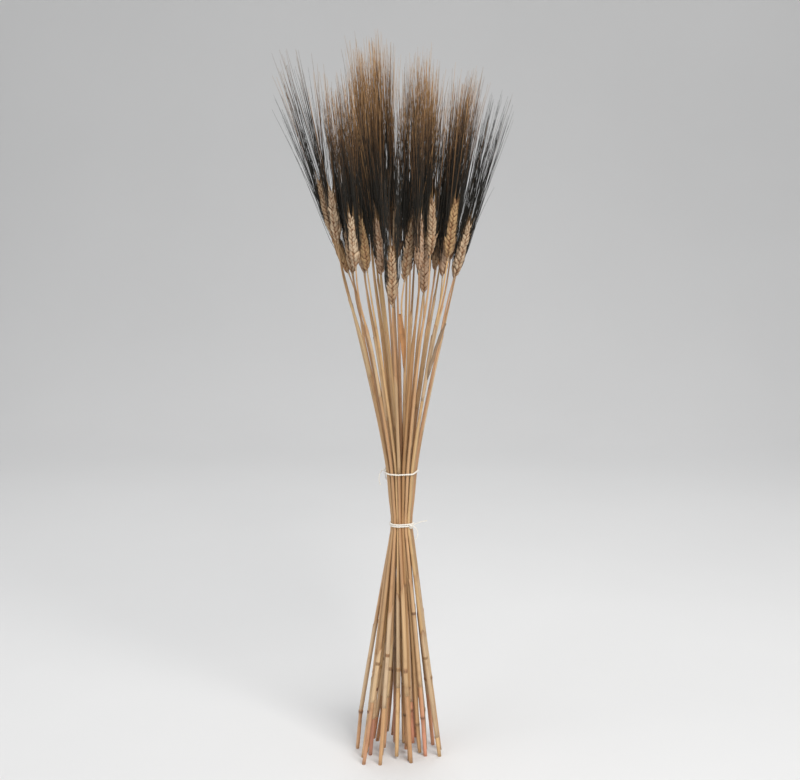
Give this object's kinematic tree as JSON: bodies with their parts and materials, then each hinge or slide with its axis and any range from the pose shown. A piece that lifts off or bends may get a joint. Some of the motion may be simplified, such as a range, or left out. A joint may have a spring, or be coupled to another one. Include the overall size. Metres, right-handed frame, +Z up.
{
  "type": "tied bundle of bearded wheat",
  "caption": "Dried bundle of black-bearded wheat: straws with plump braided ears and long dark awns, held by string ties, standing on their splayed cut ends.",
  "frame": {"origin": "on the floor, under the middle of the bundle's bounding box", "axes": "+Z up along the bundle, from the cut ends to the awns; -Y is the front that the picture shows, with +X to its right"},
  "size_m": [0.2644, 0.1758, 0.8188],
  "materials": {
    "straw": "dry straw with a satin skin, fine lengthwise lines and darker nodes",
    "chaff": "dry papery husks, cream on the crown of each scale and brown between them",
    "awn": "stiff bristles, black at the ear and golden brown towards the tip",
    "string": "off-white twisted cotton string",
    "dry_leaf": "dry ribbed leaf blade"
  },
  "bodies": {
    "root": {"stalk_01": "straw", "stalk_02": "straw", "stalk_03": "straw", "stalk_04": "straw", "stalk_05": "straw", "stalk_06": "straw", "stalk_07": "straw", "stalk_08": "straw", "stalk_09": "straw", "stalk_10": "straw", "stalk_11": "straw", "stalk_12": "straw", "stalk_13": "straw", "stalk_14": "straw", "stalk_15": "straw", "stalk_16": "straw", "stalk_17": "straw", "stalk_18": "straw", "stalk_19": "straw", "stalk_20": "straw", "stalk_21": "straw", "stalk_22": "straw", "stalk_23": "straw", "stalk_24": "straw", "stalk_25": "straw", "stalk_26": "straw", "stalk_27": "straw", "stalk_28": "straw", "stalk_29": "straw", "stalk_30": "straw", "stalk_31": "straw", "stalk_32": "straw", "stalk_33": "straw", "stalk_34": "straw", "stalk_35": "straw", "stalk_36": "straw", "lower_tie": "string", "upper_tie": "string", "leaf_blade_right": "dry_leaf", "leaf_blade_front": "dry_leaf"}
  },
  "joints": []
}
